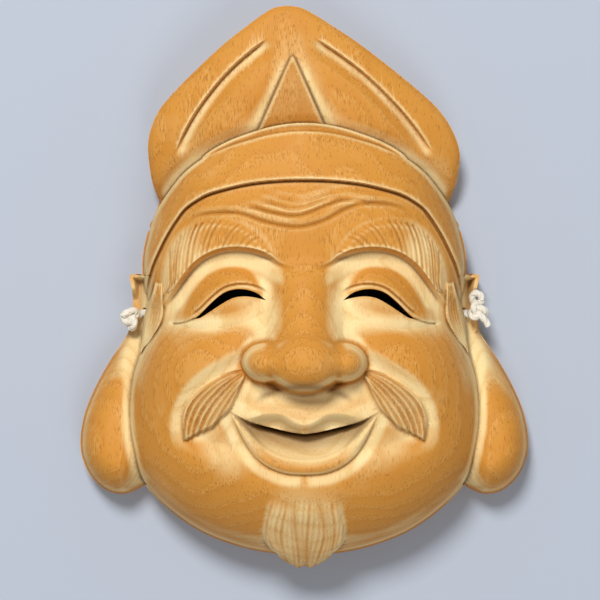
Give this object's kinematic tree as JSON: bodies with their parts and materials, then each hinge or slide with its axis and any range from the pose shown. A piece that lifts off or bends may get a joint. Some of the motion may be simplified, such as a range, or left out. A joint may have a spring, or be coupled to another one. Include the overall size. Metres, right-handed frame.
{
  "type": "ebisu mask",
  "caption": "Carved wooden wall mask of a laughing god in a tall folded cap, hollow behind, with eye slits and a cotton cord knotted through the ears.",
  "frame": {"origin": "centre of the wooden mask's footprint on its flat back, cord and knots not counted", "axes": "+X to the viewer's right across the face, +Y from the beard to the cap's peak, +Z out of the face, so the mask lies on its back"},
  "size_m": [0.2418, 0.2988, 0.1091],
  "materials": {
    "wood": "satin, stained golden brown and rubbed pale on the edges, open vertical grain",
    "cotton": "twisted unbleached cotton cord"
  },
  "bodies": {
    "root": {"mask": "wood", "cord": "cotton", "knot_left": "cotton", "knot_right": "cotton"}
  },
  "joints": []
}
